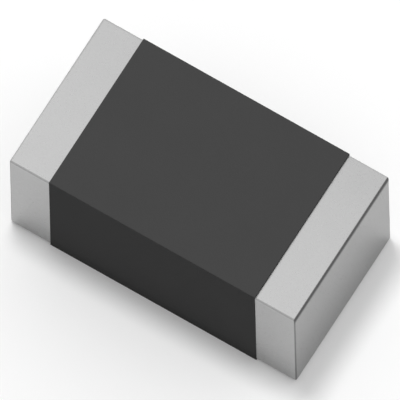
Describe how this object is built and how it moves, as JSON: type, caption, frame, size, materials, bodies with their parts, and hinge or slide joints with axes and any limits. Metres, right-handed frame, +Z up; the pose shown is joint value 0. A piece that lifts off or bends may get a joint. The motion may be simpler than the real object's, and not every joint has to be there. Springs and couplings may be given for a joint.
{
  "type": "smd chip resistor",
  "caption": "Surface-mount chip resistor: a dark coated ceramic block with a wrap-round metal solder cap at each end.",
  "frame": {"origin": "under the middle of the chip, on the underside of the coat", "axes": "+X along the chip from one cap to the other, +Y across it, +Z up out of the circuit board"},
  "size_m": [0.0032, 0.0018, 0.0016],
  "materials": {
    "ceramic": "fired white alumina",
    "film": "fired resistive paste",
    "glass_layer": "thin fired glass",
    "coat": "satin dark grey protective coat",
    "printed_silver": "fired printed silver",
    "end_layer": "conductive end layer",
    "nickel": "dull nickel plating",
    "tin": "matt tin plating"
  },
  "bodies": {
    "root": {"ceramic_core": "ceramic", "resistive_film": "film", "inner_glass": "glass_layer", "overcoat": "coat", "left_top_electrode": "printed_silver", "right_top_electrode": "printed_silver", "left_bottom_electrode": "printed_silver", "right_bottom_electrode": "printed_silver", "left_end_electrode": "end_layer", "right_end_electrode": "end_layer", "left_nickel_barrier": "nickel", "right_nickel_barrier": "nickel", "left_tin_cap": "tin", "right_tin_cap": "tin"}
  },
  "joints": []
}
